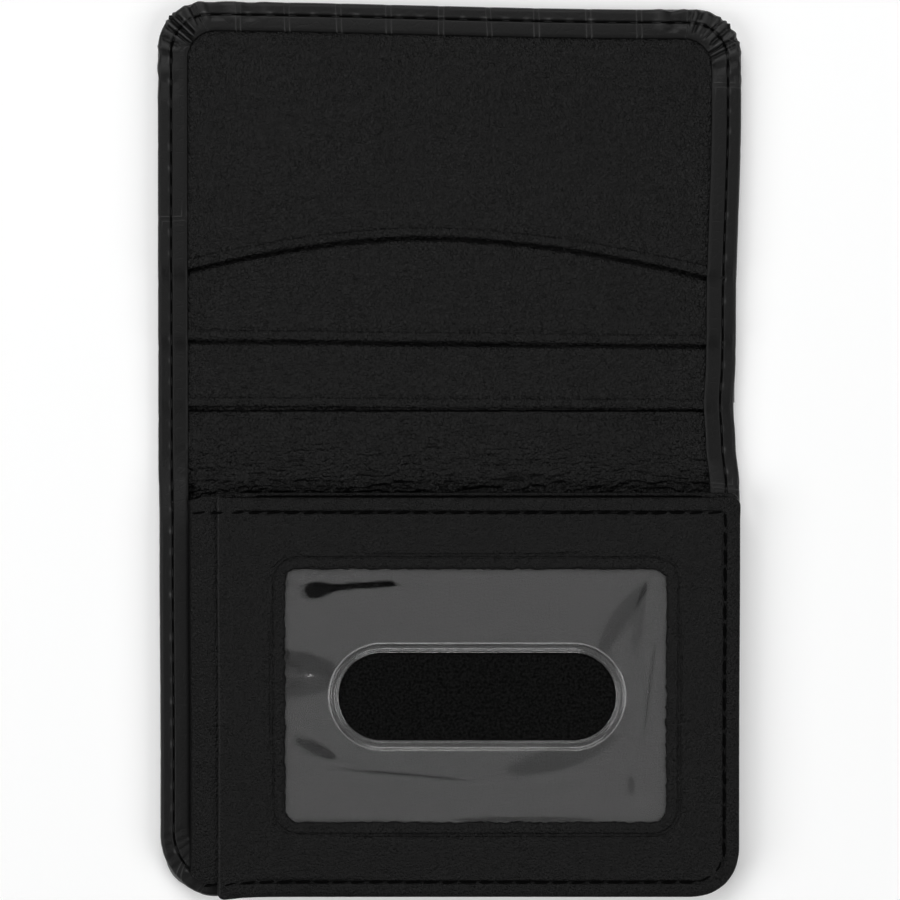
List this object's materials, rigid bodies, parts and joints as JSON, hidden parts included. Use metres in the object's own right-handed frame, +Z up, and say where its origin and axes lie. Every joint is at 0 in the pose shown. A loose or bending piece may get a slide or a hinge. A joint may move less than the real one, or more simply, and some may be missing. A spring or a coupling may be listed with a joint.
{
  "type": "trifold wallet",
  "caption": "Open leather trifold wallet with crocodile-embossed turned edges, stepped card pockets and a page-like leaf with a clear ID window and thumb slot.",
  "frame": {"origin": "centre of the underside of the open wallet, on the main fold line", "axes": "+Z up out of the open inside, +Y towards the free end of the card half, +X to the right, away from the leaf's sewn side"},
  "size_m": [0.112, 0.172, 0.0074],
  "materials": {
    "croc_leather": "crocodile-embossed, semi-gloss",
    "lining_leather": "fine pebble grain, soft satin",
    "leaf_leather": "smooth fine grain, satin",
    "board": "matt",
    "lining_fabric": "fine black taffeta",
    "thread": "waxed black thread",
    "clear_vinyl": "clear, glossy, softly rippled"
  },
  "bodies": {
    "lower_half": {"lower_outer_leather": "croc_leather", "lower_board": "board", "lower_lining": "lining_leather", "lower_edge_left": "croc_leather", "lower_edge_right": "croc_leather", "lower_edge_end": "croc_leather", "lower_edge_stitching": "thread", "hidden_pocket_rear": "lining_leather", "hidden_pocket_front": "lining_leather", "leaf_anchor_strip": "leaf_leather"},
    "upper_half": {"upper_outer_leather": "croc_leather", "upper_board": "board", "upper_lining": "lining_leather", "upper_edge_left": "croc_leather", "upper_edge_right": "croc_leather", "upper_edge_end": "croc_leather", "upper_edge_stitching": "thread", "card_pocket_rear": "lining_leather", "card_pocket_middle": "lining_leather", "card_pocket_front": "lining_leather"},
    "window_leaf": {"leaf_hinge_strip": "leaf_leather", "leaf_back_panel": "leaf_leather", "leaf_inner_lining": "lining_fabric", "id_window": "clear_vinyl", "thumb_slot_rim": "clear_vinyl", "leaf_front_frame": "leaf_leather", "leaf_stitching": "thread"}
  },
  "joints": [
    {"name": "main_fold", "type": "hinge", "parent": "lower_half", "child": "upper_half", "pos_m": [0, 0, 0.00635], "axis": [1, 0, 0], "range_deg": [0, 178]},
    {"name": "leaf_fold", "type": "hinge", "parent": "lower_half", "child": "window_leaf", "pos_m": [-0.0503, -0.048, 0.00621], "axis": [0, -1, 0], "range_deg": [0, 178]}
  ]
}
